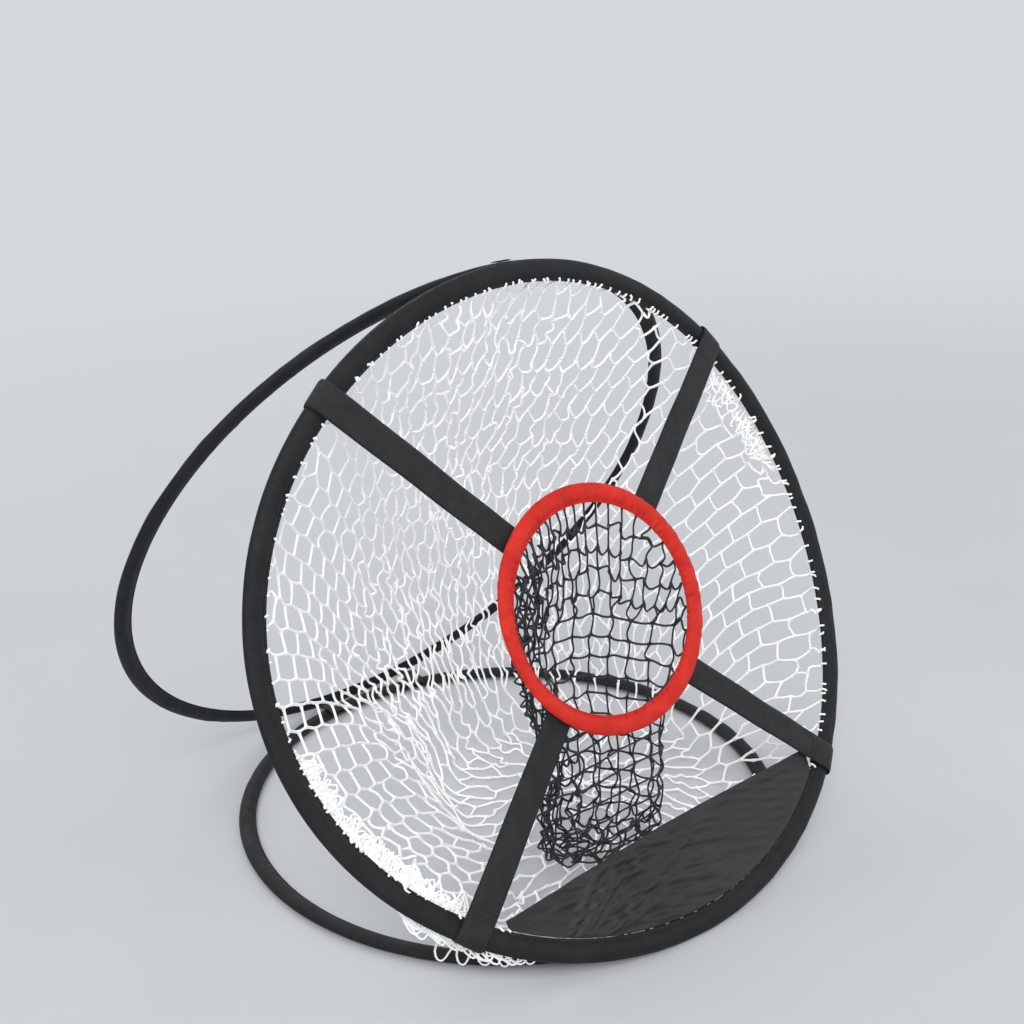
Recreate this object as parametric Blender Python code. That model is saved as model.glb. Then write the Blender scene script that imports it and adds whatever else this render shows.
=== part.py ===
"""Golf chipping net: three sprung hoops in fabric sleeves, stood up as a triangle, with a red target ring.

The origin is on the ground under the front of the base hoop. +X is to the player's right, +Y points from
the player to the back of the net, +Z is up. Every length is in metres and every angle in degrees.
"""

import math

import bmesh
import bpy
from mathutils import Matrix, Vector

# Clearances and fabric thicknesses
GAP = 0.0004
LOOP_CLEARANCE = 0.0014
WEBBING_THICKNESS = 0.0016
PANEL_THICKNESS = 0.0012
NET_THICKNESS = 0.0020
SLEEVE_WALL = 0.0011
SEAM_SLIT = 0.0008
HEM_CLEARANCE = 0.0020

# Angle above which an edge between two faces stays sharp
TUBE_CREASE = 40.0
SHEET_CREASE = 60.0

# Hoops: mean radius, how oval each is (negative is wider than tall) and how far its rim bows out of plane
FRONT_RADIUS = 0.305
FRONT_OVAL = -0.039
FRONT_BOW = 0.026
FRONT_SKEW = 3.5
FRONT_LEAN = 64.0
BASE_RADIUS = 0.2661
BASE_OVAL = 0.0154
REAR_RADIUS = 0.3106
REAR_OVAL = -0.015
REAR_LEAN_START = 120.0
REAR_LEAN_STEPS = 4
HOOP_SEGMENTS = 48

# Sleeves: half of the width across the hoop's plane, and half of the thickness
FRONT_SLEEVE_HALF = (0.0100, 0.0058)
BACK_SLEEVE_HALF = (0.0085, 0.0052)
HINGE_GAP = 0.0020
SLEEVE_OUTER_TURNS = (-142.5, -105.0, -75.0, -37.5, 0.0, 37.5, 75.0, 105.0, 142.5)
SLEEVE_INNER_TURNS = (125.0, 62.5, 0.0, -62.5, -125.0)
SLEEVE_FLAT_TURN = 75.0

# Spring-steel wires and the ferrules that join their ends
WIRE_RADIUS = 0.0016
FERRULE_WALL = 0.0009
FERRULE_LENGTH = 0.030
WIRE_END_GAP_ANGLE = 0.2
WIRE_SIDES = 6
WIRE_JOIN_ANGLES = {"front": 90.0, "base": 270.0, "rear": 90.0, "ring": 180.0}

# Target ring
RING_RADIUS = 0.104
RING_OVAL = -0.010
RING_BELOW_CENTRE = 0.0067
RING_FORWARD = 0.012
RING_SLEEVE_HALF = (0.0090, 0.0046)
RING_SEGMENTS = 40
RING_WIRE_RADIUS = 0.0013

# Webbing straps from the front hoop to the ring: rim angles from the hoop's lowest point towards +X
STRAP_WIDTH = 0.027
STRAP_ANGLES = {
    "strap_lower_right": 42.6,
    "strap_upper_right": 129.5,
    "strap_upper_left": 221.4,
    "strap_lower_left": 314.0,
}
STRAP_RING_LAP = 0.007
STRAP_RING_INSET = 0.004
STRAP_LOOP_TURNS = (-125.0, 90.0)
STRAP_LOOP_STEPS = 8

# Lower panel: rim angles of its two ends, and how far its top edge stands above the hoop's lowest point
PANEL_START_ANGLE = -40.0
PANEL_END_ANGLE = 38.5
PANEL_TOP_LEFT = 0.077
PANEL_TOP_RIGHT = 0.088
PANEL_HEM_SHARE = 0.04
PANEL_COLUMNS = 20
PANEL_ROWS = 5

# Nets
BAG_FLOOR_CENTRE = Vector((0.070, 0.232, 0.016))
BAG_FLOOR_HALF = (0.140, 0.125)
BAG_RIM_INSET = 0.0020
BAG_RIM_BEHIND = 0.0042
BAG_COLUMNS = 28
BAG_ROWS = 7
BAG_MIN_HEIGHT = 0.0065
BAG_BELLY_BACK = 0.085
BAG_BELLY_DROP = 0.030
BAG_SIDE_SAG = 0.010
BAG_SIDE_LEAD = 0.2
BAG_SIDE_LAG = 0.2
POCKET_BOTTOM_CENTRE = Vector((-0.010, 0.106, 0.034))
POCKET_BOTTOM_HALF = (0.068, 0.038)
POCKET_RIM_INSET = 0.0085
POCKET_RIM_BEHIND = 0.0080
POCKET_TAPER_POWER = 0.75
POCKET_COLUMNS = 20
POCKET_ROWS = 6

# Small webbing pieces. A pair of numbers places a tape's end: outward from its hoop's rim, then raised
SIDEWAYS = Vector((1.0, 0.0, 0.0))
TAPE_WIDTH = 0.018
TAPE_THICKNESS = 0.0010
BOTTOM_TAPE_ON_FRONT = (-0.0040, -0.0078)
BOTTOM_TAPE_ON_BASE = (-0.0030, 0.0076)
BOTTOM_TAPE_SAG = 0.0004
TOP_TAPE_ON_FRONT = (0.0112, 0.0010)
TOP_TAPE_ON_REAR = (0.0102, -0.0010)
TOP_TAPE_ARCH = 0.0006
BACK_TAB_WIDTH = 0.022
BACK_TAB_ANGLES = {"back_tab_left": 188.0, "back_tab_right": 165.0}
BACK_TAB_LOOP_TURNS = (150.0, 50.0)
BACK_TAB_LOOP_STEPS = 5
BACK_TAB_REAR_GAP = 0.0012
KEEPER_WIDTH = 0.025
KEEPER_RIM_ANGLE = 34.0
KEEPER_SEWN_SPAN = (-0.004, 0.013)
KEEPER_LANDING = 0.030
KEEPER_END = Vector((0.045, 0.118, 0.0012))


def clear_scene():
    """Remove every object that the file opened with."""
    for obj in list(bpy.data.objects):
        bpy.data.objects.remove(obj, do_unlink=True)


def make_material(name, color, roughness, metallic=0.0):
    """A plain Principled BSDF in one colour."""
    material = bpy.data.materials.new(name)
    material.use_nodes = True
    shader = material.node_tree.nodes["Principled BSDF"]
    shader.inputs["Base Color"].default_value = (*color, 1.0)
    shader.inputs["Roughness"].default_value = roughness
    shader.inputs["Metallic"].default_value = metallic
    material.diffuse_color = (*color, 1.0)
    return material


def black_sleeve_fabric():
    return make_material("black_sleeve_fabric", (0.022, 0.024, 0.026), 0.75)


def black_webbing():
    return make_material("black_webbing", (0.020, 0.021, 0.023), 0.70)


def black_nylon():
    return make_material("black_nylon", (0.026, 0.029, 0.031), 0.45)


def red_fabric():
    return make_material("red_fabric", (0.72, 0.020, 0.012), 0.60)


def white_net_cord():
    return make_material("white_net_cord", (0.85, 0.85, 0.85), 0.65)


def black_net_cord():
    return make_material("black_net_cord", (0.012, 0.014, 0.018), 0.60)


def spring_steel():
    return make_material("spring_steel", (0.45, 0.46, 0.48), 0.35, 1.0)


def crimped_steel():
    return make_material("crimped_steel", (0.62, 0.62, 0.60), 0.30, 1.0)


class Hoop:
    """An oval hoop whose rim may bow out of its plane. Angle 0 is its lowest point, 90 points to +X."""

    def __init__(self, centre, lean, radius, oval=0.0, bow=0.0, skew=0.0):
        self.centre = centre
        self.up = Vector((0.0, math.cos(math.radians(lean)), math.sin(math.radians(lean))))
        self.normal = Vector((0.0, -self.up.z, self.up.y))
        self.radius = radius
        self.oval = oval
        self.bow = bow
        self.skew = skew

    def point(self, angle):
        turn = math.radians(angle)
        phase = 2.0 * math.radians(angle - self.skew)
        reach = self.radius * (1.0 + self.oval * math.cos(phase))
        across = Vector((math.sin(turn), 0.0, 0.0)) - self.up * math.cos(turn)
        return self.centre + across * reach + self.normal * (self.bow * math.cos(phase))

    def station(self, angle):
        """The rim point, the outward direction and the direction square to both and to the rim."""
        tangent = (self.point(angle + 0.5) - self.point(angle - 0.5)).normalized()
        normal = (self.normal - tangent * self.normal.dot(tangent)).normalized()
        return self.point(angle), tangent.cross(normal), normal

    def at(self, angle, outward, raised):
        """A point beside the rim: outward from it, and raised towards the hoop's normal."""
        point, radial, normal = self.station(angle)
        return point + radial * outward + normal * raised


def support(half_width, half_thickness, lean):
    """How far an oval section, its width along the lean, reaches sideways and upwards."""
    turn = math.radians(lean)
    sideways = math.hypot(half_width * math.cos(turn), half_thickness * math.sin(turn))
    upwards = math.hypot(half_width * math.sin(turn), half_thickness * math.cos(turn))
    return sideways, upwards


def base_hoop():
    """The base hoop lies flat on the ground with its front rim over the origin."""
    half_length = BASE_RADIUS * (1.0 + BASE_OVAL)
    return Hoop(Vector((0.0, half_length, BACK_SLEEVE_HALF[1])), 0.0, BASE_RADIUS, BASE_OVAL)


def front_hoop():
    """The front hoop stands on the ground just before the base hoop's front rim."""
    sideways, upwards = support(*FRONT_SLEEVE_HALF, FRONT_LEAN)
    foot = Vector((0.0, -(BACK_SLEEVE_HALF[0] + HINGE_GAP + sideways), upwards + GAP))
    hoop = Hoop(Vector(), FRONT_LEAN, FRONT_RADIUS, FRONT_OVAL, FRONT_BOW, FRONT_SKEW)
    hoop.centre = foot - hoop.point(0.0)
    return hoop


def rear_hoop(front):
    """The rear hoop hangs behind the front hoop's top and leans until its foot is on the ground."""
    length = 2.0 * REAR_RADIUS * (1.0 + REAR_OVAL)
    front_reach = support(*FRONT_SLEEVE_HALF, FRONT_LEAN)[0]
    lean = REAR_LEAN_START
    for _ in range(REAR_LEAN_STEPS):
        sideways, upwards = support(*BACK_SLEEVE_HALF, lean)
        top = front.point(180.0) + Vector((0.0, front_reach + sideways + HINGE_GAP, 0.0))
        drop = top.z - upwards - GAP
        lean = 180.0 - math.degrees(math.asin(drop / length))
    hoop = Hoop(Vector(), lean, REAR_RADIUS, REAR_OVAL)
    hoop.centre = top - hoop.point(180.0)
    return hoop


def target_ring(front):
    """The ring's hoop stands parallel to the front hoop, a little in front of its middle."""
    centre = front.centre - front.up * RING_BELOW_CENTRE + front.normal * RING_FORWARD
    return Hoop(centre, FRONT_LEAN, RING_RADIUS, RING_OVAL)


def finish_object(name, mesh_data, material, crease=TUBE_CREASE):
    """Turn a bmesh into a named object with one material and smooth round faces."""
    bmesh.ops.recalc_face_normals(mesh_data, faces=mesh_data.faces)
    mesh = bpy.data.meshes.new(name)
    mesh_data.to_mesh(mesh)
    mesh_data.free()
    mesh.materials.append(material)
    mesh.shade_smooth()
    mesh.set_sharp_from_angle(angle=math.radians(crease))
    obj = bpy.data.objects.new(name, mesh)
    bpy.context.collection.objects.link(obj)
    return obj


def sweep(name, stations, profile, material, closed):
    """Carry a closed profile through stations of (point, first axis, second axis)."""
    mesh_data = bmesh.new()
    loops = []
    for point, first, second in stations:
        loops.append([mesh_data.verts.new(point + first * a + second * b) for a, b in profile])
    count = len(profile)
    pairs = list(zip(loops, loops[1:]))
    if closed:
        pairs.append((loops[-1], loops[0]))
    for here, there in pairs:
        for i in range(count):
            j = (i + 1) % count
            mesh_data.faces.new((here[i], here[j], there[j], there[i]))
    if not closed:
        mesh_data.faces.new(list(reversed(loops[0])))
        mesh_data.faces.new(loops[-1])
    return finish_object(name, mesh_data, material)


def sleeve_profile(half_width, half_thickness):
    """A flattened fabric tube, open by a narrow slit at its sewn inner edge. Its underside has a flat."""
    flat_reach = math.sin(math.radians(SLEEVE_FLAT_TURN))
    outer = []
    for angle in SLEEVE_OUTER_TURNS:
        turn = math.radians(angle)
        height = half_thickness * min(1.0, max(-1.0, math.sin(turn) / flat_reach))
        outer.append((half_width * math.cos(turn), height))
    slit = SEAM_SLIT / 2.0
    inner_width = half_width - SLEEVE_WALL
    inner_thickness = half_thickness - SLEEVE_WALL
    inner = []
    for angle in SLEEVE_INNER_TURNS:
        turn = math.radians(angle)
        inner.append((inner_width * math.cos(turn), inner_thickness * math.sin(turn)))
    seam_top = [(-half_width, slit), (-inner_width, slit)]
    seam_bottom = [(-inner_width, -slit), (-half_width, -slit)]
    return outer + seam_top + inner + seam_bottom


def circle_profile(radius, sides):
    """A regular polygon standing for a round section."""
    turns = [2.0 * math.pi * i / sides for i in range(sides)]
    return [(radius * math.cos(turn), radius * math.sin(turn)) for turn in turns]


def add_sleeve(name, hoop, half, segments, material):
    """The fabric tube around one hoop."""
    stations = [hoop.station(360.0 * i / segments) for i in range(segments)]
    return sweep(name, stations, sleeve_profile(*half), material, closed=True)


def add_wire(name, hoop, radius, segments, join_angle, material):
    """A spring-steel wire bent to the hoop, with its two ends almost meeting at the join angle."""
    step = 360.0 / segments
    angles = [join_angle + WIRE_END_GAP_ANGLE]
    angles += [join_angle + step * i for i in range(1, segments)]
    angles += [join_angle + 360.0 - WIRE_END_GAP_ANGLE]
    stations = [hoop.station(angle) for angle in angles]
    return sweep(name, stations, circle_profile(radius, WIRE_SIDES), material, closed=False)


def add_ferrule(name, hoop, wire_radius, segments, join_angle, material):
    """A crimped tube over the wire's two ends. It follows the wire's own straight segments."""
    step = 360.0 / segments
    middle, radial, normal = hoop.station(join_angle)
    points = []
    for side in (-1.0, 1.0):
        neighbour = hoop.point(join_angle + side * step)
        reach = FERRULE_LENGTH / 2.0 / (neighbour - middle).length
        points.append(middle.lerp(neighbour, reach))
    inner = circle_profile(wire_radius + 2.0 * GAP, WIRE_SIDES)
    outer = circle_profile(wire_radius + 2.0 * GAP + FERRULE_WALL, WIRE_SIDES)
    mesh_data = bmesh.new()
    rings = []
    for point in (points[0], middle, points[1]):
        for profile in (outer, inner):
            rings.append([mesh_data.verts.new(point + radial * a + normal * b) for a, b in profile])
    circuit = [rings[0], rings[2], rings[4], rings[5], rings[3], rings[1]]
    for here, there in zip(circuit, circuit[1:] + circuit[:1]):
        for i in range(WIRE_SIDES):
            j = (i + 1) % WIRE_SIDES
            mesh_data.faces.new((here[i], here[j], there[j], there[i]))
    return finish_object(name, mesh_data, material)


def ribbon(name, path, acrosses, width, thickness, material):
    """A flat strip of webbing that follows a path, with one width direction for each of its points."""
    stations = []
    for i, (point, across) in enumerate(zip(path, acrosses)):
        before = (point - path[i - 1]).normalized() if i > 0 else None
        after = (path[i + 1] - point).normalized() if i < len(path) - 1 else None
        first = (before or after).cross(across).normalized()
        second = (after or before).cross(across).normalized()
        middle = (first + second).normalized()
        stations.append((point, middle / max(0.5, middle.dot(first)), across))
    a = thickness / 2.0
    b = width / 2.0
    return sweep(name, stations, [(-a, -b), (a, -b), (a, b), (-a, b)], material, closed=False)


def around_sleeve(centre, outward, raised, half, turns, steps):
    """Points on an oval around a sleeve, a little more than half a webbing's thickness from it."""
    margin = LOOP_CLEARANCE + WEBBING_THICKNESS / 2.0
    points = []
    for i in range(steps + 1):
        turn = math.radians(turns[0] + (turns[1] - turns[0]) * i / steps)
        reach = (half[0] + margin) * math.cos(turn)
        height = (half[1] + margin) * math.sin(turn)
        points.append(centre + outward * reach + raised * height)
    return points


def add_strap(name, front, ring, rim_angle, material):
    """Webbing that loops around the front sleeve and runs to the back of the target ring."""
    rim, _, rim_normal = front.station(rim_angle)
    inward = (ring.centre - rim).normalized()
    rim_across = inward.cross(rim_normal).normalized()
    outward = rim_across.cross(rim_normal).normalized()
    if outward.dot(inward) > 0.0:
        outward = -outward
    path = around_sleeve(rim, outward, rim_normal, FRONT_SLEEVE_HALF, STRAP_LOOP_TURNS, STRAP_LOOP_STEPS)
    acrosses = [rim_across] * len(path)

    ring_across = inward.cross(ring.normal).normalized()
    ring_outward = ring.normal.cross(ring_across).normalized()
    if ring_outward.dot(inward) > 0.0:
        ring_outward = -ring_outward
    behind = RING_SLEEVE_HALF[1] + 3.0 * GAP + WEBBING_THICKNESS / 2.0
    for reach in (RING_RADIUS + RING_SLEEVE_HALF[0] + STRAP_RING_LAP, RING_RADIUS - STRAP_RING_INSET):
        path.append(ring.centre + ring_outward * reach - ring.normal * behind)
        acrosses.append(ring_across)
    return ribbon(name, path, acrosses, STRAP_WIDTH, WEBBING_THICKNESS, material)


def add_sheet(name, rows, thickness, material, wrap):
    """A fabric or net sheet through rows of points, thickened into a closed solid."""
    mesh_data = bmesh.new()
    loops = [[mesh_data.verts.new(point) for point in row] for row in rows]
    count = len(loops[0])
    for here, there in zip(loops, loops[1:]):
        for i in range(count if wrap else count - 1):
            j = (i + 1) % count
            mesh_data.faces.new((here[i], here[j], there[j], there[i]))
    if wrap:
        mesh_data.faces.new(loops[-1])
    obj = finish_object(name, mesh_data, material, SHEET_CREASE)
    solid = obj.modifiers.new("cloth_thickness", "SOLIDIFY")
    solid.thickness = thickness
    solid.offset = 0.0
    return obj


def add_lower_panel(front, material):
    """The nylon panel that fills the bottom of the front hoop and stops balls rolling out."""
    inset = FRONT_SLEEVE_HALF[0] + HEM_CLEARANCE
    ends = [front.at(angle, -inset, 0.0) for angle in (PANEL_START_ANGLE, PANEL_END_ANGLE)]
    foot = front.point(0.0)
    tops = (PANEL_TOP_LEFT, PANEL_TOP_RIGHT)
    top_edge = [end + front.up * (top - (end - foot).dot(front.up)) for end, top in zip(ends, tops)]
    rows = []
    for row in range(PANEL_ROWS + 1):
        rise = row / PANEL_ROWS
        points = []
        for column in range(PANEL_COLUMNS + 1):
            share = column / PANEL_COLUMNS
            angle = PANEL_START_ANGLE + (PANEL_END_ANGLE - PANEL_START_ANGLE) * share
            rim = front.at(angle, -inset, 0.0)
            chord_share = (rim.x - ends[0].x) / (ends[1].x - ends[0].x)
            chord = top_edge[0].lerp(top_edge[1], chord_share)
            points.append(rim.lerp(chord, PANEL_HEM_SHARE + (1.0 - PANEL_HEM_SHARE) * rise))
        rows.append(points)
    return add_sheet("lower_panel", rows, PANEL_THICKNESS, material, wrap=False)


def bag_row(front, share):
    """One loop of the net bag, from the front hoop's rim (share 0) to its floor (share 1)."""
    points = []
    for column in range(BAG_COLUMNS):
        angle = 360.0 * column / BAG_COLUMNS
        turn = math.radians(angle)
        rim = front.at(angle, -(FRONT_SLEEVE_HALF[0] + BAG_RIM_INSET), -BAG_RIM_BEHIND)
        floor = BAG_FLOOR_CENTRE + Vector(
            (BAG_FLOOR_HALF[0] * math.sin(turn), -BAG_FLOOR_HALF[1] * math.cos(turn), 0.0)
        )
        side = math.sin(turn) ** 2
        inward = 1.0 - (1.0 - share) ** (1.0 + BAG_SIDE_LEAD * side)
        backward = share ** (1.0 + BAG_SIDE_LAG * side)
        point = rim.lerp(floor, share)
        point.x = rim.x + (floor.x - rim.x) * inward
        point.y = rim.y + (floor.y - rim.y) * backward
        belly = math.sin(math.pi * share)
        nearness_to_top = 0.5 - 0.5 * math.cos(turn)
        point.y += BAG_BELLY_BACK * belly * nearness_to_top
        point.z -= BAG_BELLY_DROP * belly * nearness_to_top
        point.x -= BAG_SIDE_SAG * belly * math.sin(turn)
        point.z = max(point.z, BAG_MIN_HEIGHT)
        points.append(point)
    return points


def add_outer_net(front, material):
    """The white net bag: sewn to the front sleeve all round, sagging back and down to the ground."""
    rows = [bag_row(front, row / BAG_ROWS) for row in range(BAG_ROWS + 1)]
    return add_sheet("outer_net", rows, NET_THICKNESS, material, wrap=True)


def add_pocket_net(ring, material):
    """The black net pocket: sewn into the target ring, hanging to just above the ground."""
    rows = []
    for row in range(POCKET_ROWS + 1):
        share = row / POCKET_ROWS
        points = []
        for column in range(POCKET_COLUMNS):
            angle = 360.0 * column / POCKET_COLUMNS
            turn = math.radians(angle)
            rim = ring.at(angle, -POCKET_RIM_INSET, -POCKET_RIM_BEHIND)
            bottom = POCKET_BOTTOM_CENTRE + Vector(
                (POCKET_BOTTOM_HALF[0] * math.sin(turn), -POCKET_BOTTOM_HALF[1] * math.cos(turn), 0.0)
            )
            point = rim.lerp(bottom, share ** POCKET_TAPER_POWER)
            point.z = rim.z + (bottom.z - rim.z) * share
            points.append(point)
        rows.append(points)
    return add_sheet("pocket_net", rows, NET_THICKNESS, material, wrap=True)


def add_bottom_tape(front, base, material):
    """A sewn tape that hinges the base hoop's front rim to the front hoop's foot."""
    start = front.at(0.0, *BOTTOM_TAPE_ON_FRONT)
    end = base.at(0.0, *BOTTOM_TAPE_ON_BASE)
    middle = start.lerp(end, 0.5) - Vector((0.0, 0.0, BOTTOM_TAPE_SAG))
    path = [start, middle, end]
    return ribbon("bottom_hinge_tape", path, [SIDEWAYS] * len(path), TAPE_WIDTH, TAPE_THICKNESS, material)


def add_top_tape(front, rear, material):
    """A sewn tape over the two tops that hinges the rear hoop to the front hoop."""
    start = front.at(180.0, *TOP_TAPE_ON_FRONT)
    end = rear.at(180.0, *TOP_TAPE_ON_REAR)
    middle = start.lerp(end, 0.5) + Vector((0.0, 0.0, TOP_TAPE_ARCH))
    path = [start, middle, end]
    return ribbon("top_hinge_tape", path, [SIDEWAYS] * len(path), TAPE_WIDTH, TAPE_THICKNESS, material)


def add_back_tab(name, base, rear, angle, material):
    """A short webbing tab sewn over the base sleeve's back, reaching to the rear hoop's sleeve."""
    rim, radial, normal = base.station(angle)
    path = around_sleeve(rim, radial, normal, BACK_SLEEVE_HALF, BACK_TAB_LOOP_TURNS, BACK_TAB_LOOP_STEPS)
    rear_angles = [half_degree * 0.5 for half_degree in range(-80, 81)]
    nearest = min(rear_angles, key=lambda rear_angle: (rear.point(rear_angle) - rim).length)
    toward = rear.point(nearest) - path[-1]
    reach = 1.0 - (BACK_SLEEVE_HALF[0] + BACK_TAB_REAR_GAP) / toward.length
    path.append(path[-1] + toward * reach)
    across = normal.cross(radial).normalized()
    flat = [p - across * (p - rim).dot(across) for p in path]
    return ribbon(name, flat, [across] * len(flat), BACK_TAB_WIDTH, WEBBING_THICKNESS, material)


def add_keeper_strap(base, material):
    """A webbing keeper sewn on the base sleeve, its free end on the ground. It holds the coiled net shut."""
    rim = base.point(KEEPER_RIM_ANGLE)
    run = (KEEPER_END - rim) * Vector((1.0, 1.0, 0.0))
    inward = run.normalized()
    across = Vector((0.0, 0.0, 1.0)).cross(inward).normalized()
    top = BACK_SLEEVE_HALF[1] * 2.0 + 3.0 * GAP + WEBBING_THICKNESS / 2.0
    heights = {KEEPER_SEWN_SPAN[0]: top, KEEPER_SEWN_SPAN[1]: top}
    heights[KEEPER_LANDING] = KEEPER_END.z
    heights[run.length] = KEEPER_END.z
    below_rim = Vector((rim.x, rim.y, 0.0))
    path = [below_rim + inward * reach + Vector((0.0, 0.0, height)) for reach, height in heights.items()]
    return ribbon("keeper_strap", path, [across] * len(path), KEEPER_WIDTH, WEBBING_THICKNESS, material)


def parent_to_pivot(name, pivot, children):
    """Parent a moving body's pieces to an empty that stands on its hinge axis."""
    empty = bpy.data.objects.new(name, None)
    bpy.context.collection.objects.link(empty)
    empty.location = pivot
    for child in children:
        child.parent = empty
        child.data.transform(Matrix.Translation(-pivot))


def add_hoop_set(prefix, hoop, half, fabric, steel, crimp):
    """One hoop: its sleeve, its spring wire and the ferrule that joins the wire's ends."""
    join_angle = WIRE_JOIN_ANGLES[prefix]
    return [
        add_sleeve(prefix + "_sleeve", hoop, half, HOOP_SEGMENTS, fabric),
        add_wire(prefix + "_spring_wire", hoop, WIRE_RADIUS, HOOP_SEGMENTS, join_angle, steel),
        add_ferrule(prefix + "_wire_ferrule", hoop, WIRE_RADIUS, HOOP_SEGMENTS, join_angle, crimp),
    ]


def build():
    clear_scene()
    base = base_hoop()
    front = front_hoop()
    rear = rear_hoop(front)
    ring = target_ring(front)
    fabric = black_sleeve_fabric()
    webbing = black_webbing()
    steel = spring_steel()
    crimp = crimped_steel()
    red = red_fabric()

    add_hoop_set("front", front, FRONT_SLEEVE_HALF, fabric, steel, crimp)
    base_pieces = add_hoop_set("base", base, BACK_SLEEVE_HALF, fabric, steel, crimp)
    rear_pieces = add_hoop_set("rear", rear, BACK_SLEEVE_HALF, fabric, steel, crimp)

    add_sleeve("ring_cover", ring, RING_SLEEVE_HALF, RING_SEGMENTS, red)
    ring_join = WIRE_JOIN_ANGLES["ring"]
    add_wire("ring_wire", ring, RING_WIRE_RADIUS, RING_SEGMENTS, ring_join, steel)
    add_ferrule("ring_wire_ferrule", ring, RING_WIRE_RADIUS, RING_SEGMENTS, ring_join, crimp)
    for name, angle in STRAP_ANGLES.items():
        add_strap(name, front, ring, angle, webbing)

    add_lower_panel(front, black_nylon())
    add_outer_net(front, white_net_cord())
    add_pocket_net(ring, black_net_cord())
    add_bottom_tape(front, base, webbing)
    add_top_tape(front, rear, webbing)

    for name, angle in BACK_TAB_ANGLES.items():
        base_pieces.append(add_back_tab(name, base, rear, angle, webbing))
    base_pieces.append(add_keeper_strap(base, webbing))

    base_pivot = Vector((0.0, -(BACK_SLEEVE_HALF[0] + HINGE_GAP / 2.0), BACK_SLEEVE_HALF[1]))
    rear_pivot = front.point(180.0).lerp(rear.point(180.0), 0.5)
    parent_to_pivot("base_fold_pivot", base_pivot, base_pieces)
    parent_to_pivot("rear_fold_pivot", rear_pivot, rear_pieces)


build()
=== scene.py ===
import math

import bmesh
import bpy
import numpy as np
from mathutils import Matrix, Vector


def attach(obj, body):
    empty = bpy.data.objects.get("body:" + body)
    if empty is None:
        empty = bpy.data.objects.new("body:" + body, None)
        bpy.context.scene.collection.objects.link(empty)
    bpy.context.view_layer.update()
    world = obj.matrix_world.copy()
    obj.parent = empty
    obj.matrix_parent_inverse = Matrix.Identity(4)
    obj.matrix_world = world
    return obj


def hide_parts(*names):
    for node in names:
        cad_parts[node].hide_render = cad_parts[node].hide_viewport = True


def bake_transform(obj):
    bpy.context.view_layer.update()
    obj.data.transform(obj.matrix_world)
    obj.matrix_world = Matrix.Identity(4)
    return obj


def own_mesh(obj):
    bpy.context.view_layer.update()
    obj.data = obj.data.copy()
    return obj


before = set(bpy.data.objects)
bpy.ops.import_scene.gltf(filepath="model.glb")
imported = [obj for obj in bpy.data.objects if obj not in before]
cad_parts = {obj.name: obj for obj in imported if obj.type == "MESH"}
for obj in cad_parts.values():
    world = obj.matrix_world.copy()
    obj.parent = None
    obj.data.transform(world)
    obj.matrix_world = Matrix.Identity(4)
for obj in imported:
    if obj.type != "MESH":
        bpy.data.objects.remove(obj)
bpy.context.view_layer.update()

# Hoops, as in the CAD
FRONT_RADIUS = 0.305
FRONT_OVAL = -0.039
FRONT_BOW = 0.026
FRONT_SKEW = 3.5
FRONT_LEAN = 64.0
BASE_RADIUS = 0.2661
BASE_OVAL = 0.0154
REAR_RADIUS = 0.3106
REAR_OVAL = -0.015
RING_RADIUS = 0.104
RING_OVAL = -0.010
RING_BELOW_CENTRE = 0.0067
RING_FORWARD = 0.012
FRONT_HALF = (0.0100, 0.0058)
BACK_HALF = (0.0085, 0.0052)
RING_HALF = (0.0090, 0.0046)
HINGE_GAP = 0.0020
GAP = 0.0004

# Straps
STRAP_WIDTH = 0.027
WEB_THICKNESS = 0.0016
LOOP_CLEARANCE = 0.0014
STRAP_ANGLES = {
    "strap_lower_right": 42.6,
    "strap_upper_right": 129.5,
    "strap_upper_left": 221.4,
    "strap_lower_left": 314.0,
}

# Small webbing pieces
TAPE_WIDTH = 0.018
TAPE_THICKNESS = 0.0010
TAB_WIDTH = 0.022
TAB_ANGLES = {"back_tab_left": 188.0, "back_tab_right": 165.0}
KEEPER_WIDTH = 0.025
KEEPER_ANGLE = 34.0
KEEPER_END = np.array([0.045, 0.118, 0.0012])

# Sleeves and sewing
SLEEVE_COLUMNS = 36
NARROW_SIDE = (225.0, 345.0, 55.0)
SEAM_HALF = 0.0012
SEAM_INSET = 0.0019
STITCH_PITCH = 0.0042
THREAD = 0.00026
STRAP_THREAD = 0.0003
PANEL_THREAD = 0.00022

# Lower panel
PANEL_ANGLES = (-40.0, 38.5)
PANEL_TOPS = (0.077, 0.088)
PANEL_WRINKLES = 14
PANEL_FOLDS = 9
PANEL_HEM = 0.010

# Nets: strand length, spacing of the rows in turn, meshes round the rim, and the width at which
# meshes join in pairs. GATHER is how much of the wall, next to the rim, takes up the extra net.
BAG_STRAND = 0.0183
BAG_STEPS = (0.0150, 0.0175)
BAG_COLUMNS = 84
BAG_NARROWEST = 0.0125
BAG_GATHER = 0.026
BAG_FLOOR = np.array([0.070, 0.232, 0.0045])
BAG_FLOOR_HALF = (0.140, 0.125)
BAG_SIDE_SAG = 0.010
BAG_SIDE_LEAD = 0.2
BAG_SIDE_LAG = 0.2
BAG_TOP_BELLY = 0.085
BAG_TOP_SAG = 0.030
BAG_LOW_SIDE_SAG = 0.014
POCKET_STRAND = 0.0204
POCKET_STEPS = (0.0190, 0.0190)
POCKET_COLUMNS = 42
POCKET_NARROWEST = 0.0095
POCKET_GATHER = 0.02
POCKET_FLOOR = np.array([-0.010, 0.106, 0.036])
POCKET_FLOOR_HALF = (0.068, 0.038)
STRAND_POINTS = 8
WHITE_CORD = 0.00125
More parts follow.
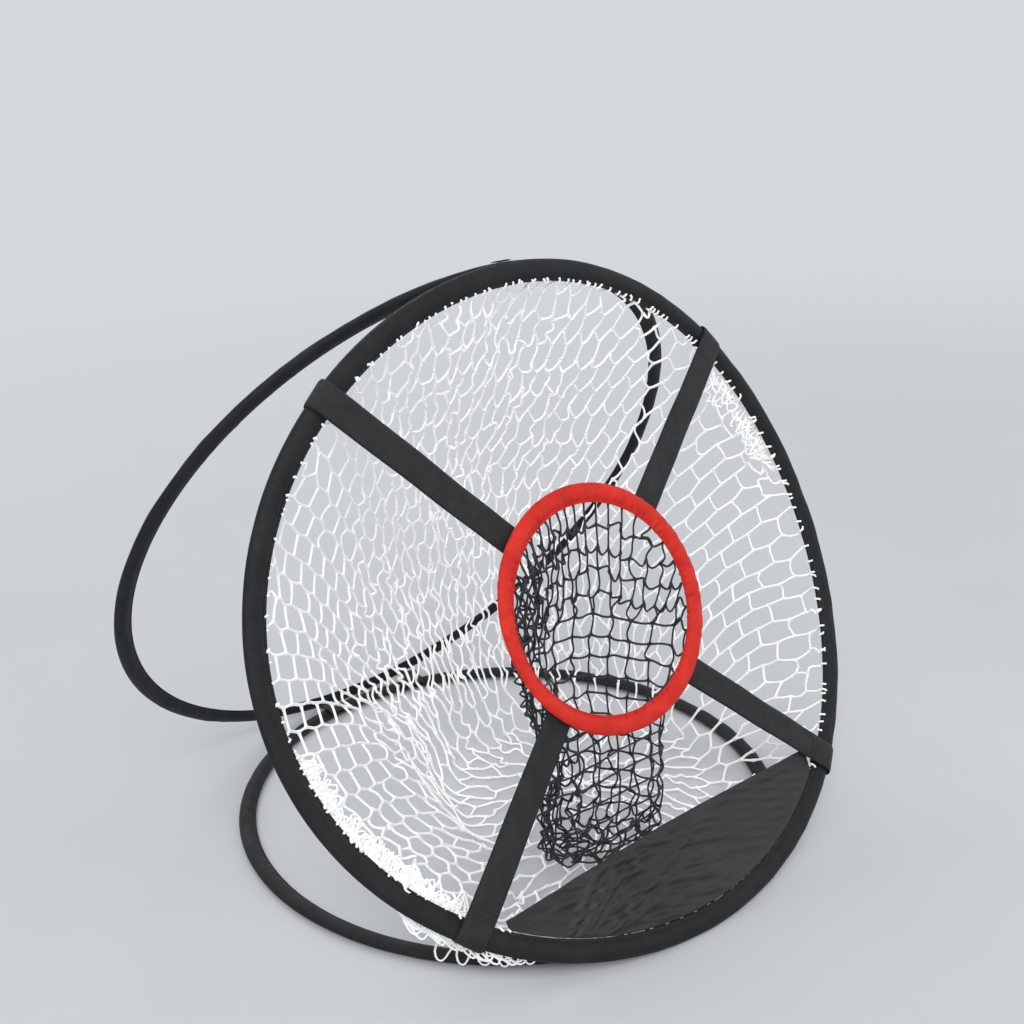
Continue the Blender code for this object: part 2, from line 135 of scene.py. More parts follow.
BLACK_CORD = 0.00115
RIM_CORD = 0.0011
FRILL_CORD = 0.0009
LOOP_CORD = 0.0010
LOOP_POINTS = 10

# How far the nets' knots stay from a sleeve, and the lowest they may hang
FRONT_MARGIN = 0.0014
BACK_MARGIN = 0.0016
BAG_LOWEST = 0.0022
POCKET_LOWEST = 0.018

# Loops of net over the base sleeve: angle on the hoop, width, and how far round the sleeve
SPILL_LOOPS = (
    (308.5, 3.4, 118.0),
    (312.5, 3.0, 134.0),
    (316.5, 3.8, 126.0),
    (320.0, 3.0, 138.0),
    (324.5, 3.6, 122.0),
    (327.5, 2.4, 112.0),
)

# Bands of this height, by how far the front hoop's bowed face lies from its plane, split the bag's
# cords into parts
BOW_BAND = 0.0087

FLOOR_REACH = 30.0
CAMERA_TURNS = (-39.19, 24.16, -2.12)
CAMERA_TARGET = (0.0, 0.2419, 0.2288)
CAMERA_DISTANCE = 1.3022
CAMERA_LENS = 48.17
CAMERA_SHIFT = (-0.0051, 0.0867)

rng = np.random.default_rng(20)


def unit(v):
    """Vectors brought to length one."""
    return v / np.maximum(np.linalg.norm(v, axis=-1, keepdims=True), 1e-12)


class Hoop:
    """An oval hoop that may bow out of its plane. Angle 0 is its lowest point, 90 is toward +X."""

    def __init__(self, centre, lean, radius, oval=0.0, bow=0.0, skew=0.0):
        self.centre = np.array(centre, float)
        self.up = np.array([0.0, math.cos(math.radians(lean)), math.sin(math.radians(lean))])
        self.normal = np.array([0.0, -self.up[2], self.up[1]])
        self.radius, self.oval, self.bow, self.skew = radius, oval, bow, skew

    def point(self, angle):
        angle = np.asarray(angle, float)
        turn = np.radians(angle)[..., None]
        phase = 2.0 * np.radians(angle - self.skew)[..., None]
        reach = self.radius * (1.0 + self.oval * np.cos(phase))
        across = np.array([1.0, 0.0, 0.0]) * np.sin(turn) - self.up * np.cos(turn)
        return self.centre + across * reach + self.normal * (self.bow * np.cos(phase))

    def station(self, angle):
        angle = np.asarray(angle, float)
        tangent = unit(self.point(angle + 0.5) - self.point(angle - 0.5))
        along = (tangent @ self.normal)[..., None]
        normal = unit(self.normal - tangent * along)
        return self.point(angle), np.cross(tangent, normal), normal

    def at(self, angle, outward, raised):
        point, radial, normal = self.station(angle)
        outward = np.asarray(outward, float)[..., None]
        raised = np.asarray(raised, float)[..., None]
        return point + radial * outward + normal * raised


def support(half, lean):
    """How far a leaning sleeve's oval section reaches sideways and upwards."""
    turn = math.radians(lean)
    sideways = math.hypot(half[0] * math.cos(turn), half[1] * math.sin(turn))
    upwards = math.hypot(half[0] * math.sin(turn), half[1] * math.cos(turn))
    return sideways, upwards


def make_hoops():
    """The base, front and rear hoops and the ring, standing as the CAD has them."""
    base = Hoop((0.0, BASE_RADIUS * (1.0 + BASE_OVAL), BACK_HALF[1]), 0.0, BASE_RADIUS, BASE_OVAL)
    sideways, upwards = support(FRONT_HALF, FRONT_LEAN)
    foot = np.array([0.0, -(BACK_HALF[0] + HINGE_GAP + sideways), upwards + GAP])
    front = Hoop((0, 0, 0), FRONT_LEAN, FRONT_RADIUS, FRONT_OVAL, FRONT_BOW, FRONT_SKEW)
    front.centre = foot - front.point(0.0)
    lean = 120.0
    for _ in range(4):
        side_r, up_r = support(BACK_HALF, lean)
        top = front.point(180.0) + np.array([0.0, sideways + side_r + HINGE_GAP, 0.0])
        drop = top[2] - up_r - GAP
        lean = 180.0 - math.degrees(math.asin(drop / (2.0 * REAR_RADIUS * (1.0 + REAR_OVAL))))
    rear = Hoop((0, 0, 0), lean, REAR_RADIUS, REAR_OVAL)
    rear.centre = top - rear.point(180.0)
    middle = front.centre - front.up * RING_BELOW_CENTRE + front.normal * RING_FORWARD
    ring = Hoop(middle, FRONT_LEAN, RING_RADIUS, RING_OVAL)
    return base, front, rear, ring


base_hoop, front_hoop, rear_hoop, ring_hoop = make_hoops()


# ---- materials

class Nodes:
    """A short way to write a node material."""

    def __init__(self, name):
        self.material = bpy.data.materials.new(name)
        self.material.use_nodes = True
        self.tree = self.material.node_tree
        self.shader = self.tree.nodes["Principled BSDF"]

    def feed(self, socket, value):
        if isinstance(value, bpy.types.NodeSocket):
            self.tree.links.new(value, socket)
        else:
            socket.default_value = value

    def add(self, kind, inputs=None, **settings):
        node = self.tree.nodes.new(kind)
        for key, value in settings.items():
            setattr(node, key, value)
        for key, value in (inputs or {}).items():
            self.feed(node.inputs[key], value)
        return node

    def put(self, key, value):
        self.feed(self.shader.inputs[key], value)

    def math(self, operation, a, b=0.0):
        node = self.add("ShaderNodeMath", {0: a, 1: b}, operation=operation)
        return node.outputs[0]

    def uv(self):
        return self.add("ShaderNodeUVMap", uv_map="cloth").outputs[0]

    def object(self):
        return self.add("ShaderNodeTexCoord").outputs["Object"]

    def sine(self, turns):
        return self.math("SINE", self.math("MULTIPLY", turns, 2.0 * math.pi))

    def wave(self, vector, per_metre, axis):
        scaled = self.add("ShaderNodeVectorMath", {0: vector, 1: (per_metre,) * 3},
                          operation="MULTIPLY")
        axes = self.add("ShaderNodeSeparateXYZ", {0: scaled.outputs[0]})
        return self.math("MULTIPLY_ADD", self.sine(axes.outputs[axis]), 0.5)

    def noise(self, vector, scale, detail=3.0):
        node = self.add("ShaderNodeTexNoise", {"Vector": vector, "Scale": scale, "Detail": detail})
        return node.outputs["Fac"]

    def ramp(self, value, low, high):
        node = self.add("ShaderNodeMapRange", {0: value, 1: 0.3, 2: 0.7, 3: 0.0, 4: 1.0})
        inputs = {"Factor": node.outputs[0], 6: (*low, 1.0), 7: (*high, 1.0)}
        return self.add("ShaderNodeMix", inputs, data_type="RGBA").outputs[2]

    def tint(self, low, high, scale, detail=3.0):
        self.put("Base Color", self.ramp(self.noise(self.object(), scale, detail), low, high))

    def roughen(self, low, high, scale):
        inputs = {0: self.noise(self.object(), scale), 1: 0.25, 2: 0.75, 3: low, 4: high}
        self.put("Roughness", self.add("ShaderNodeMapRange", inputs).outputs[0])

    def bump(self, height, distance):
        inputs = {"Height": height, "Distance": distance, "Strength": 1.0}
        node = self.add("ShaderNodeBump", inputs)
        self.put("Normal", node.outputs[0])


def woven(name, low, high, rough, sheen):
    """A plain weave: two sets of threads, soft colour change and a cloth sheen."""
    n = Nodes(name)
    uv = n.uv()
    warp = n.wave(uv, 900.0, 0)
    weft = n.wave(uv, 900.0, 1)
    weave = n.math("MULTIPLY", warp, weft)
    n.tint(low, high, 38.0, 5.0)
    n.roughen(rough - 0.08, rough + 0.10, 120.0)
    n.put("Sheen Weight", sheen)
    n.put("Sheen Roughness", 0.35)
    n.put("Specular IOR Level", 0.25)
    n.bump(weave, 0.00012)
    return n.material


def webbing(name, low, high):
    """Heavy woven tape with slanting ribs."""
    n = Nodes(name)
    uv = n.uv()
    axes = n.add("ShaderNodeSeparateXYZ", {0: uv})
    across = n.math("FRACT", n.math("MULTIPLY", axes.outputs[1], 190.0))
    fold = n.math("ABSOLUTE", n.math("SUBTRACT", across, 0.5))
    slant = n.math("ADD", n.math("MULTIPLY", axes.outputs[0], 620.0), fold)
    rib = n.sine(slant)
    cross = n.math("SINE", n.math("MULTIPLY", axes.outputs[1], 2.0 * math.pi * 760.0))
    height = n.math("ADD", n.math("MULTIPLY", rib, 0.5), n.math("MULTIPLY", cross, 0.3))
    n.tint(low, high, 60.0, 6.0)
    n.roughen(0.62, 0.80, 150.0)
    n.put("Sheen Weight", 0.03)
    n.put("Specular IOR Level", 0.35)
    n.bump(height, 0.00018)
    return n.material


def nylon(name, low, high):
    """Thin coated cloth with a soft shine and a fine square weave."""
    n = Nodes(name)
    uv = n.uv()
    weave = n.math("MULTIPLY", n.wave(uv, 1400.0, 0), n.wave(uv, 1400.0, 1))
    n.tint(low, high, 22.0, 5.0)
    n.roughen(0.50, 0.66, 45.0)
    n.put("Sheen Weight", 0.02)
    n.bump(weave, 0.00005)
    return n.material


def cord(name, low, high, rough, depth, glow=0.0):
    """Twisted cord: strands that run round it aslant, with fluff and soiling. Glow makes the cord
    emit its own colours, painted light that makes it brighter than the lamps make it.
    """
    n = Nodes(name)
    axes = n.add("ShaderNodeSeparateXYZ", {0: n.uv()})
    along = n.math("MULTIPLY", axes.outputs[0], 420.0)
    slant = n.math("ADD", along, n.math("MULTIPLY", axes.outputs[1], 3.0))
    twist = n.sine(slant)
    fluff = n.noise(n.object(), 900.0, 4.0)
    n.tint(low, high, 45.0, 5.0)
    n.put("Roughness", rough)
    n.put("Sheen Weight", 0.10)
    # Painted light: the cord emits its own colours at the glow strength, so it looks brighter than
    # its lighting
    n.put("Emission Color", n.ramp(n.noise(n.object(), 45.0, 5.0), low, high))
    n.put("Emission Strength", glow)
    n.bump(n.math("ADD", n.math("MULTIPLY", twist, 0.5), fluff), depth)
    return n.material


def steel(name, low, high):
    """Bare metal with uneven polish."""
    n = Nodes(name)
    n.tint(low, high, 90.0, 6.0)
    n.put("Metallic", 1.0)
    n.roughen(0.25, 0.45, 400.0)
    n.bump(n.noise(n.object(), 1500.0), 0.00003)
    return n.material


SLEEVE = woven("sleeve_fabric", (0.0075, 0.0078, 0.0085), (0.013, 0.0135, 0.0145), 0.62, 0.035)
RED = woven("ring_fabric", (0.50, 0.012, 0.006), (0.66, 0.024, 0.012), 0.55, 0.08)
WEBBING = webbing("webbing", (0.0095, 0.0097, 0.0100), (0.0165, 0.0168, 0.0172))
NYLON = nylon("panel_nylon", (0.0085, 0.0092, 0.0100), (0.0140, 0.0150, 0.0165))
# The white cord glows at 0.22: painted light that keeps it whiter than the floor behind it
WHITE = cord("white_cord", (0.80, 0.80, 0.79), (0.93, 0.93, 0.93), 0.62, 0.00015, 0.22)
BLACK = cord("black_cord", (0.006, 0.007, 0.010), (0.016, 0.018, 0.024), 0.55, 0.00015)
BLACK_THREAD = cord("black_thread", (0.014, 0.015, 0.016), (0.030, 0.031, 0.033), 0.50, 0.00003)
RED_THREAD = cord("red_thread", (0.45, 0.010, 0.008), (0.60, 0.020, 0.012), 0.50, 0.00003)
STEEL = steel("spring_steel", (0.38, 0.39, 0.41), (0.52, 0.53, 0.55))
FERRULE = steel("ferrule_steel", (0.56, 0.56, 0.54), (0.70, 0.70, 0.68))


# ---- meshes

def build_mesh(name, points, quads, corner_uv, material):
    """An object from numpy arrays of points, four-cornered faces and their cloth coordinates."""
    mesh = bpy.data.meshes.new(name)
    mesh.vertices.add(len(points))
    mesh.vertices.foreach_set("co", np.ascontiguousarray(points, np.float32).ravel())
    mesh.loops.add(quads.size)
    mesh.loops.foreach_set("vertex_index", np.ascontiguousarray(quads, np.int32).ravel())
    mesh.polygons.add(len(quads))
    mesh.polygons.foreach_set("loop_start", np.arange(0, quads.size, 4, dtype=np.int32))
    layer = mesh.uv_layers.new(name="cloth")
    layer.data.foreach_set("uv", np.ascontiguousarray(corner_uv, np.float32).ravel())
    mesh.update(calc_edges=True)
    mesh.validate()
    mesh.materials.append(material)
    mesh.shade_smooth()
    obj = bpy.data.objects.new(name, mesh)
    bpy.context.collection.objects.link(obj)
    return obj


def lengths_along(points, closed):
    """The distance from the first point to each point, and round to the first again if closed."""
    steps = np.linalg.norm(np.diff(points, axis=0), axis=1)
    if closed:
        steps = np.append(steps, np.linalg.norm(points[0] - points[-1]))
    return np.concatenate([[0.0], np.cumsum(steps)])


def tube(name, grid, material, closed):
    """A closed skin through a grid: rows run along the piece, columns run round its section."""
    rows, columns = grid.shape[:2]
    r, c = np.meshgrid(np.arange(rows if closed else rows - 1), np.arange(columns), indexing="ij")
    r_next, c_next = (r + 1) % rows, (c + 1) % columns
    quads = np.stack([r * columns + c, r * columns + c_next,
                      r_next * columns + c_next, r_next * columns + c], -1)
    u = lengths_along(grid.mean(1), closed)
    v = lengths_along(grid[rows // 3], True)
    corner_u = np.stack([u[r], u[r], u[r + 1], u[r + 1]], -1)
    corner_v = np.stack([v[c], v[c + 1], v[c + 1], v[c]], -1)
    quads, uv = quads.reshape(-1, 4), np.stack([corner_u, corner_v], -1).reshape(-1, 2)
    obj = build_mesh(name, grid.reshape(-1, 3), quads, uv, material)
    work = bmesh.new()
    work.from_mesh(obj.data)
    bmesh.ops.holes_fill(work, edges=[e for e in work.edges if e.is_boundary], sides=0)
    work.normal_update()
    bmesh.ops.recalc_face_normals(work, faces=work.faces)
    work.to_mesh(obj.data)
    work.free()
    return obj


def tie(obj, body=None, node=None):
    """Hide the CAD node that a piece stands for and attach the piece to its body."""
    if node:
        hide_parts(node)
    if body:
        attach(obj, body)


def cords(name, paths, radii, material):
    """Many short four-sided cords: paths is (cords, points, 3), radii is (cords, points)."""
    count, steps = paths.shape[:2]
    tangent = unit(np.gradient(paths, axis=1))
    chord = unit(paths[:, -1] - paths[:, 0])
    spare = np.where(np.abs(chord[:, 2:]) < 0.8, [[0.0, 0.0, 1.0]], [[1.0, 0.0, 0.0]])
    first = unit(np.cross(tangent, spare[:, None, :]))
    second = np.cross(tangent, first)
    turns = np.radians([0.0, 90.0, 180.0, 270.0])
    offsets = first[:, :, None] * np.cos(turns)[:, None]
    offsets = offsets + second[:, :, None] * np.sin(turns)[:, None]
    points = (paths[:, :, None] + offsets * radii[:, :, None, None]).reshape(-1, 3)
    p, k = np.meshgrid(np.arange(steps - 1), np.arange(4), indexing="ij")
    here, there, beside = p * 4, (p + 1) * 4, (k + 1) % 4
    side = np.stack([here + k, here + beside, there + beside, there + k], -1).reshape(-1, 4)
    last = (steps - 1) * 4
    caps = np.array([[3, 2, 1, 0], [last, last + 1, last + 2, last + 3]])
    pattern = np.concatenate([side, caps])
    quads = (np.arange(count)[:, None, None] * steps * 4 + pattern).reshape(-1, 4)
    run = np.linalg.norm(np.diff(paths, axis=1), axis=2)
    run = np.concatenate([np.zeros((count, 1)), np.cumsum(run, axis=1)], axis=1)
    run += rng.uniform(0.0, 0.01, (count, 1))
    uv = np.zeros((count, len(pattern), 4, 2))
    flat_p, flat_k = p.ravel(), k.ravel()
    for corner, (dp, dk) in enumerate(((0, 0), (0, 1), (1, 1), (1, 0))):
        uv[:, : len(side), corner, 0] = run[:, flat_p + dp]
        uv[:, : len(side), corner, 1] = (flat_k + dk) / 4.0
    return build_mesh(name, points, quads, uv.reshape(-1, 2), material)


# ---- sleeves

def smooth_noise(x, seed, waves, low, high):
    """A repeating smooth noise over x in turns, between about -1 and 1."""
    local = np.random.default_rng(seed)
    total = np.zeros_like(np.asarray(x, float))
    for _ in range(waves):
        cycles = round(math.exp(local.uniform(math.log(low), math.log(high))))
        total = total + np.sin(2.0 * np.pi * (cycles * x + local.uniform()))
    return total / math.sqrt(waves)


def sleeve_section(half):
    """Half-flattened tube with a thin sewn edge on the inside: outward and raised offsets."""
    turns = np.linspace(0.0, 2.0 * np.pi, SLEEVE_COLUMNS, endpoint=False)
    outward = half[0] * np.cos(turns)
    centre, reach = half[0] * 0.14, half[0] * 0.86
    inside = np.clip(1.0 - ((outward - centre) / reach) ** 2, 0.0, None)
    round_part = half[1] * inside ** 0.5
    edge_part = SEAM_HALF * np.clip((1.0 - (outward / half[0]) ** 10), 0.0, 1.0) ** 0.5
    height = np.maximum(round_part, edge_part) * np.sign(np.sin(turns) + 1e-12)
    height[np.abs(np.sin(turns)) < 1e-9] = 0.0
    return outward, height, turns


def add_sleeve(node, hoop, half, body, material, slot, thread, seed, stations=640,
               crease=0.00040, narrow=0.0):
    """A hoop's cloth cover, puckered along its seam and narrower on one side, with its stitches."""
    angles = np.linspace(0.0, 360.0, stations, endpoint=False)
    point, radial, normal = hoop.station(angles)
    outward, height, turns = sleeve_section(half)
    share = angles / 360.0
    slow = smooth_noise(share, seed, 7, 5.0, 30.0)
    quick = smooth_noise(share, seed + 1, 9, 40.0, 150.0)
    lean = smooth_noise(share, seed + 2, 7, 20.0, 90.0)
    side = np.sign(height)[None, :]
    at_seam = np.clip(-np.cos(turns), 0.0, 1.0)[None, :]
    pucker = crease * (slow[:, None] * 0.5 + quick[:, None] * at_seam)
    ripple = crease * 0.6 * lean[:, None] * np.sin(2.0 * turns + 0.6)[None, :]
    free = (np.abs(height) > SEAM_HALF / 2.0)[None, :]
    raised = height[None, :] + side * (pucker + ripple - crease * 0.9) * free
    limit = half[1] - 0.0001
    raised = np.clip(raised, -limit, limit)
    width = 1.0 - narrow * bump_window(angles, *NARROW_SIDE)
    out = outward[None, :] * width[:, None]
    grid = point[:, None] + radial[:, None] * out[..., None] + normal[:, None] * raised[..., None]
    obj = tube(node + "_cloth", grid, material, closed=True)
    tie(obj, body, node)
    add_hoop_stitches(node + "_cloth_stitches", hoop, half, body, thread)


def add_hoop_stitches(name, hoop, half, body, material):
    """A line of thread along the sewn inner edge, on both faces."""
    length = 2.0 * math.pi * hoop.radius
    count = int(length / STITCH_PITCH)
    paths = []
    for face in (1.0, -1.0):
        start = np.arange(count) * 360.0 / count
        span = 0.62 * 360.0 / count
        steps = []
        for share, lift in ((0.0, -0.0002), (0.25, 0.00035), (0.75, 0.00035), (1.0, -0.0002)):
            raised = face * (SEAM_HALF + lift)
            steps.append(hoop.at(start + span * share, -half[0] + SEAM_INSET, raised))
        paths.append(np.stack(steps, 1))
    paths = np.concatenate(paths)
    tie(cords(name, paths, np.full(paths.shape[:2], THREAD), material), body)


# ---- webbing

def resample(path, spacing):
    """Points at even spacing along a path, smoothed, whatever each point holds."""
    path = np.asarray(path, float)
    run = lengths_along(path[:, :3], closed=False)
    count = max(6, int(run[-1] / spacing))
    even = np.linspace(0.0, run[-1], count)
    result = np.stack([np.interp(even, run, path[:, i]) for i in range(path.shape[1])], 1)
    for _ in range(3):
        result[1:-1] = (result[:-2] + 2.0 * result[1:-1] + result[2:]) / 4.0
    return result


def ribbon(name, node, path, acrosses, width, thickness=WEB_THICKNESS, body=None, wobble=0.0,
           seed=0):
    """A strip of webbing with rounded selvedges, and the points and directions along its middle."""
    acrosses = np.broadcast_to(acrosses, (len(path), 3))
    joined = resample(np.concatenate([path, acrosses], 1), 0.0022)
    points, across = joined[:, :3], unit(joined[:, 3:])
    tangent = unit(np.gradient(points, axis=0))
    across = unit(across - tangent * (across * tangent).sum(1)[:, None])
    face = np.cross(tangent, across)
    side = np.linspace(-1.0, 1.0, 11)
    edge = np.sqrt(np.clip(1.0 - side ** 8, 0.0, 1.0))
    top = np.stack([side * width / 2.0, edge * thickness / 2.0], 1)
    bottom = top[::-1][1:-1] * [1.0, -1.0]
    section = np.concatenate([top, bottom])
    share = np.linspace(0.0, 1.0, len(points))
    sway = wobble * smooth_noise(share, seed, 5, 1.0, 4.0) * np.sin(np.pi * share)
    grid = points[:, None] + across[:, None] * section[None, :, :1]
    grid = grid + face[:, None] * (section[None, :, 1:] + sway[:, None, None])
    obj = tube(name, grid, WEBBING, closed=False)
    tie(obj, body, node)
    return obj, points, across, face


def stitch_lines(name, lines, radius):
    """Sewn black thread along straight lines given as (start, end, outward face)."""
    paths = []
    for start, end, face in lines:
        length = np.linalg.norm(end - start)
        count = max(2, int(length / 0.0032))
        for i in range(count):
            a = start + (end - start) * (i + 0.15) / count
            b = start + (end - start) * (i + 0.85) / count
            over = face * 0.0003
            paths.append([a - face * 0.0002, a * 0.8 + b * 0.2 + over,
                          a * 0.2 + b * 0.8 + over, b - face * 0.0002])
    paths = np.array(paths)
    obj = cords(name, paths, np.full(paths.shape[:2], radius), BLACK_THREAD)
    tie(obj, "front_frame")


def loop_round(spot, outward, normal, half, turns):
    """A path round a sleeve's section that leaves room for the loop's gap and half its webbing."""
    margin = LOOP_CLEARANCE + WEB_THICKNESS / 2.0
    turns = np.radians(turns)
    path = spot + outward * ((half[0] + margin) * np.cos(turns))[:, None]
    return path + normal * ((half[1] + margin) * np.sin(turns))[:, None]


def strap_directions(inward, normal):
    """Across a strap that runs inward over a hoop, and away from the hoop's middle."""
    across = unit(np.cross(inward, normal))
    outward = unit(np.cross(across, normal))
    return across, -outward if outward @ inward > 0.0 else outward


def add_straps():
    """Straps that loop round the front sleeve, are sewn to themselves and run behind the ring."""
    for number, (node, angle) in enumerate(STRAP_ANGLES.items()):
        rim, _, rim_normal = front_hoop.station(angle)
        inward = unit(ring_hoop.centre - rim)
        rim_across, outward = strap_directions(inward, rim_normal)
        ring_across, ring_outward = strap_directions(inward, ring_hoop.normal)
        loop = loop_round(rim, outward, rim_normal, FRONT_HALF, np.linspace(-125.0, 90.0, 30))
        behind = RING_HALF[1] + 3.0 * GAP + WEB_THICKNESS / 2.0
        ends = []
        for reach in (RING_RADIUS + RING_HALF[0] + 0.007, RING_RADIUS - 0.004):
            ends.append(ring_hoop.centre + ring_outward * reach - ring_hoop.normal * behind)
        path = np.concatenate([loop, ends])
        acrosses = np.concatenate([np.repeat(rim_across[None], len(loop), 0), [ring_across] * 2])
        _, points, across, face = ribbon(node + "_web", node, path, acrosses, STRAP_WIDTH,
                                         body="front_frame", wobble=0.0005, seed=60 + number)
        lines = []
        run = lengths_along(points, closed=False)
        sewn = run[np.argmin(np.linalg.norm(points - loop[-1], axis=1))]
        for offset in (0.014, 0.018):
            i = int(np.searchsorted(run, sewn + offset))
            for sign in (1.0, -1.0):
                centre = points[i] + face[i] * sign * WEB_THICKNESS * 0.5
                reach = across[i] * STRAP_WIDTH * 0.42
                lines.append((centre - reach, centre + reach, face[i] * sign))
        stitch_lines(node + "_stitches", lines, STRAP_THREAD)


# ---- lower panel

def add_panel():
    """The cloth from the front sleeve's foot up to a hem, wrinkled and fanned with folds."""
    inset = FRONT_HALF[0] + 0.0006
    foot = front_hoop.point(0.0)
    ends = front_hoop.at(np.array(PANEL_ANGLES), -inset, 0.0)
    rise = np.array([top - (end - foot) @ front_hoop.up for top, end in zip(PANEL_TOPS, ends)])
    tops = ends + front_hoop.up * rise[:, None]
    columns, rows = 200, 60
    share = np.linspace(0.0, 1.0, columns)
    angles = PANEL_ANGLES[0] + (PANEL_ANGLES[1] - PANEL_ANGLES[0]) * share
    rim = front_hoop.at(angles, -inset, 0.0)
    chord_share = (rim[:, 0] - ends[0][0]) / (ends[1][0] - ends[0][0])
    chord = tops[0] + (tops[1] - tops[0]) * chord_share[:, None]
    crest = 0.0045 * np.sin(np.pi * chord_share) ** 1.5 * (1.3 - 0.6 * chord_share)
    chord = chord + front_hoop.up * crest[:, None]
    height = np.linspace(0.0, 1.0, rows)
    middle = rim[None] + (chord - rim)[None] * height[:, None, None]
    x, y = middle[..., 0], (middle - foot) @ front_hoop.up
    wave = np.zeros_like(x)
    local = np.random.default_rng(5)
    for _ in range(PANEL_WRINKLES):
        spread = local.uniform(-0.30, 0.45)
        across_wave = y * math.cos(spread) + (x + 0.19) * math.sin(spread)
        period = local.uniform(0.012, 0.036)
        centre = local.uniform(-0.18, 0.16)
        reach = local.uniform(0.03, 0.11)
        ridge = np.sin(2.0 * np.pi * across_wave / period + local.uniform(0, 6.28))
        sharp = 1.0 - np.abs(ridge) ** 1.1
        wave += sharp * np.exp(-((x - centre) / reach) ** 2) * period * 0.045
    fan = np.arctan2(y + 0.004, x + 0.205)
    fade = np.clip(1.4 - (x + 0.2) / 0.25, 0.0, 1.0)
    for _ in range(PANEL_FOLDS):
        centre = local.uniform(0.12, 0.65)
        wave += 0.0016 * np.exp(-((fan - centre) / 0.022) ** 2) * fade
    edges = np.clip(height * 9.0, 0.0, 1.0)[:, None] * np.clip(share * 14.0, 0.0, 1.0)
    edges = edges * np.clip((1.0 - share) * 14.0, 0.0, 1.0)
    wave = (wave - wave.mean()) * edges
    below_top = (1.0 - height)[:, None] * np.linalg.norm(chord - rim, axis=1)[None]
    hem = 1.0 - np.clip(below_top / PANEL_HEM, 0.0, 1.0)
    wave *= 1.0 - 0.5 * hem
    half = 0.00045 + 0.0006 * np.clip(hem * 6.0, 0.0, 1.0)
    half = half * np.sqrt(np.clip(1.0 - height[:, None] ** 60, 0.0, 1.0)) + 0.00005
    front_side = middle + front_hoop.normal * (wave + half)[..., None]
    back_side = middle + front_hoop.normal * (wave - half)[..., None]
    grid = np.concatenate([front_side, back_side[::-1]], 0).transpose(1, 0, 2)
    obj = tube("lower_panel_cloth", grid, NYLON, closed=False)
    tie(obj, "front_frame", "lower_panel")
    lines = []
    row = int(rows * 0.90)
    for j in range(4, columns - 8, 4):
        lines.append((front_side[row, j], front_side[row, j + 4], front_hoop.normal))
    stitch_lines("lower_panel_stitches", lines, PANEL_THREAD)


# ---- nets

def bump_window(angle, start, stop, soft):
    """One between two angles and nothing outside them, with smooth shoulders."""
    rise = np.clip((angle - start) / soft, 0.0, 1.0)
    fall = np.clip((stop - angle) / soft, 0.0, 1.0)
    share = np.minimum(rise, fall)
    return share * share * (3.0 - 2.0 * share)


def on_oval(centre, half, turn):
    """A point on a flat oval, at a turn counted as on a hoop."""
    return centre + np.array([half[0] * math.sin(turn), -half[1] * math.cos(turn), 0.0])


def bag_curve(angle):
    """The bag's line from the middle of its floor to the front rim, at one angle."""
    turn = math.radians(angle)
    rim = front_hoop.at(angle, -(FRONT_HALF[0] - 0.0015), -0.0036)
    edge = on_oval(BAG_FLOOR, BAG_FLOOR_HALF, turn)
    share = np.linspace(1.0, 0.0, 40)
    side = math.sin(turn) ** 2
    inward = 1.0 - (1.0 - share) ** (1.0 + BAG_SIDE_LEAD * side)
    backward = share ** (1.0 + BAG_SIDE_LAG * side)
    wall = rim + (edge - rim) * np.stack([inward, backward, share], 1)
    belly = np.sin(np.pi * share)
    near_top = 0.5 - 0.5 * math.cos(turn)
    wall[:, 1] += BAG_TOP_BELLY * belly * near_top
    low_side = float(bump_window(angle, 262.0, 338.0, 24.0))
    sag = (BAG_TOP_SAG * near_top + BAG_LOW_SIDE_SAG * low_side) * belly
    wall[:, 2] = np.maximum(wall[:, 2] - sag, BAG_FLOOR[2])
    wall[:, 0] -= BAG_SIDE_SAG * belly * math.sin(turn)
    floor = BAG_FLOOR + (edge - BAG_FLOOR) * np.linspace(0.0, 1.0, 12)[:, None]
    return np.concatenate([floor[:-1], wall])


def pocket_curve(angle):
    """The pocket's line from the middle of its floor to the ring, at one angle."""
    rim = ring_hoop.at(angle, -(RING_HALF[0] - 0.0012), -0.0022)
    edge = on_oval(POCKET_FLOOR, POCKET_FLOOR_HALF, math.radians(angle))
    share = np.linspace(1.0, 0.0, 30)[:, None]
    side = share ** 0.75
    wall = rim * (1.0 - side) + edge * side
    wall[:, 2] = (rim[2] + (edge[2] - rim[2]) * share)[:, 0]
    floor = POCKET_FLOOR + (edge - POCKET_FLOOR) * np.linspace(0.0, 1.0, 8)[:, None]
    return np.concatenate([floor[:-1], wall])


